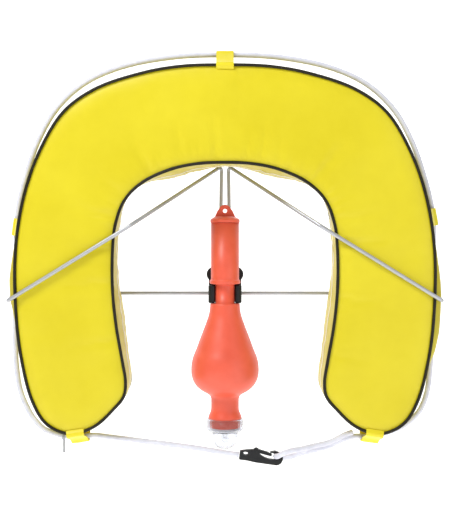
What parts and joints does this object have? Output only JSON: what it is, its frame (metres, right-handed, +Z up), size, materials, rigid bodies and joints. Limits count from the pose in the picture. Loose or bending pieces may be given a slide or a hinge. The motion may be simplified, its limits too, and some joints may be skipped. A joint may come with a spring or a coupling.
{
  "type": "horseshoe lifebuoy with rack and rescue light",
  "caption": "Horseshoe lifebuoy with piped cover, grab line and snap hook, hung on a stainless wire rack whose black clamp holds an inverting rescue light lens down.",
  "frame": {"origin": "centre of the rack clamp's flat rear face, where it screws to a rail board or bulkhead", "axes": "+Z up as it hangs, the buoy's front panel faces -Y, +X to the right seen from the front"},
  "size_m": [0.707, 0.1506, 0.6466],
  "materials": {
    "cover_yellow": "PVC-coated cloth, satin",
    "piping_black": "satin",
    "foam": "closed-cell foam",
    "rope_white": "braided polypropylene",
    "tie_grey": "satin",
    "plastic_black": "moulded, satin",
    "holder_white": "moulded, satin",
    "stainless": "drawn and polished",
    "float_orange": "moulded, semi-gloss",
    "lens_clear": "clear polycarbonate",
    "lamp_glass": "clear",
    "seal_rubber": "matt",
    "cell_case": "satin",
    "contact_brass": "stamped"
  },
  "bodies": {
    "rack": {"rack_upright_left": "stainless", "rack_upright_right": "stainless", "rack_arm_left": "stainless", "rack_arm_right": "stainless", "rack_side_left": "stainless", "rack_side_right": "stainless", "rack_bar": "stainless", "clamp_front": "plastic_black", "clamp_back": "plastic_black", "clamp_screw_upper": "stainless", "clamp_screw_lower": "stainless"},
    "buoy": {"front_panel": "cover_yellow", "back_panel": "cover_yellow", "side_band": "cover_yellow", "foam_front": "foam", "foam_back": "foam", "front_piping": "piping_black", "back_piping": "piping_black", "rope_tab_top": "cover_yellow", "rope_tab_right": "cover_yellow", "rope_tab_left": "cover_yellow", "rope_tab_lower_right": "cover_yellow", "rope_tab_lower_left": "cover_yellow", "snap_hook_body": "plastic_black", "grab_line": "rope_white", "line_eye": "rope_white", "rope_tie": "tie_grey"},
    "hook_gate": {"snap_hook_gate": "plastic_black"},
    "light": {"float_body": "float_orange", "lens_seal": "seal_rubber", "lamp_holder": "holder_white", "lamp": "lamp_glass", "battery_sleeve": "plastic_black", "battery_cell_lower": "cell_case", "battery_cell_upper": "cell_case", "base_contact": "contact_brass", "battery_spring": "stainless", "tilt_switch_tube": "plastic_black", "lead_left": "seal_rubber", "lead_right": "seal_rubber"},
    "lens": {"lens": "lens_clear"},
    "end_cap": {"end_cap": "float_orange", "end_cap_seal": "seal_rubber"},
    "tilt_ball": {"tilt_switch_ball": "stainless"}
  },
  "joints": [
    {"name": "buoy_lift", "type": "slide", "parent": "rack", "child": "buoy", "axis": [0, 0, 1], "range_m": [0, 0.22]},
    {"name": "light_release", "type": "slide", "parent": "rack", "child": "light", "axis": [0, -1, 0], "range_m": [0, 0.028]},
    {"name": "hook_gate_swing", "type": "hinge", "parent": "buoy", "child": "hook_gate", "pos_m": [0.0486, -0.121, -0.2543], "axis": [0, 1, 0], "range_deg": [0, 7], "stiffness_Nm_per_rad": 0.02},
    {"name": "lens_unscrew", "type": "hinge", "parent": "light", "child": "lens", "pos_m": [0, -0.0575, -0.22], "axis": [0, 0, 1], "continuous": true},
    {"name": "end_cap_unscrew", "type": "hinge", "parent": "light", "child": "end_cap", "pos_m": [0, -0.0575, 0.1], "axis": [0, 0, 1], "continuous": true},
    {"name": "tilt_ball_roll", "type": "slide", "parent": "light", "child": "tilt_ball", "axis": [0, 0, 1], "range_m": [0, 0.008]}
  ]
}
